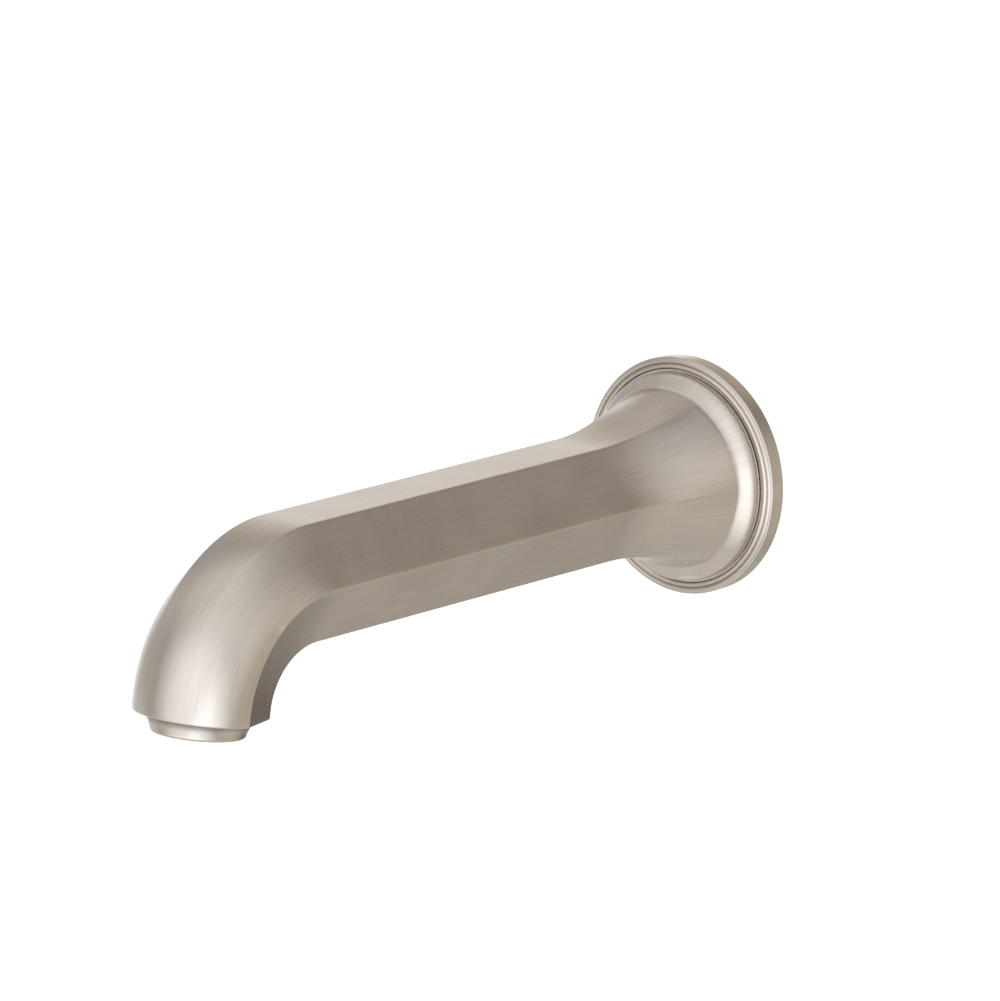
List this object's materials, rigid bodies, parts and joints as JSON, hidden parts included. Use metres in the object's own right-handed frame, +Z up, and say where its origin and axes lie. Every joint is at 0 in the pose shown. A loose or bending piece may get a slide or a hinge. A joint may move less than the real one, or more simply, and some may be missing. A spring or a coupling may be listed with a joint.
{
  "type": "wall mounted bath spout",
  "caption": "Fixed bath spout with a six-sided arm, flared round base, beaded wall escutcheon, inlet adapter and a screw-in aerator at the downturned outlet.",
  "frame": {"origin": "where the supply pipe's axis meets the finished wall, at the centre of the escutcheon's back", "axes": "+Z up, +Y into the wall, so the spout reaches out along -Y; the object is symmetric about x = 0"},
  "size_m": [0.07, 0.2177, 0.0722],
  "materials": {
    "brushed_nickel": "warm brushed nickel plate on cast brass",
    "escutcheon_nickel": "warm brushed nickel plate on turned brass",
    "aerator_nickel": "satin nickel plate on turned brass",
    "adapter_brass": "plain machined brass",
    "screw_steel": "stainless steel",
    "screen_steel": "stainless wire",
    "gasket_foam": "closed cell foam",
    "seal_rubber": "matt black rubber",
    "white_acetal": "moulded white plastic",
    "grey_acetal": "moulded grey plastic"
  },
  "bodies": {
    "spout": {"spout_body": "brushed_nickel", "wall_escutcheon": "escutcheon_nickel", "wall_gasket": "gasket_foam", "base_seal": "seal_rubber", "inlet_adapter": "adapter_brass", "supply_washer": "seal_rubber", "spigot_seal_rear": "seal_rubber", "spigot_seal_front": "seal_rubber", "set_screw": "screw_steel"},
    "aerator_insert": {"aerator_housing": "white_acetal", "aerator_washer": "seal_rubber", "aerator_straightener": "grey_acetal", "aerator_wire_screen": "screen_steel", "aerator_splitter": "white_acetal", "aerator_jet_plate": "grey_acetal", "aerator_strainer": "white_acetal"},
    "aerator_collar": {"aerator_shell": "aerator_nickel"}
  },
  "joints": [
    {"name": "aerator_travel", "type": "slide", "parent": "spout", "child": "aerator_insert", "axis": [0, -0.1478, -0.989], "range_m": [0, 0.005]},
    {"name": "aerator_unscrew", "type": "hinge", "parent": "aerator_insert", "child": "aerator_collar", "pos_m": [0, -0.20126, -0.03055], "axis": [0, -0.1478, -0.989], "range_deg": [0, 1800]}
  ],
  "couplings": [
    {"joint": "aerator_unscrew", "follows": "aerator_travel", "rad_per_m": 6283.2}
  ]
}
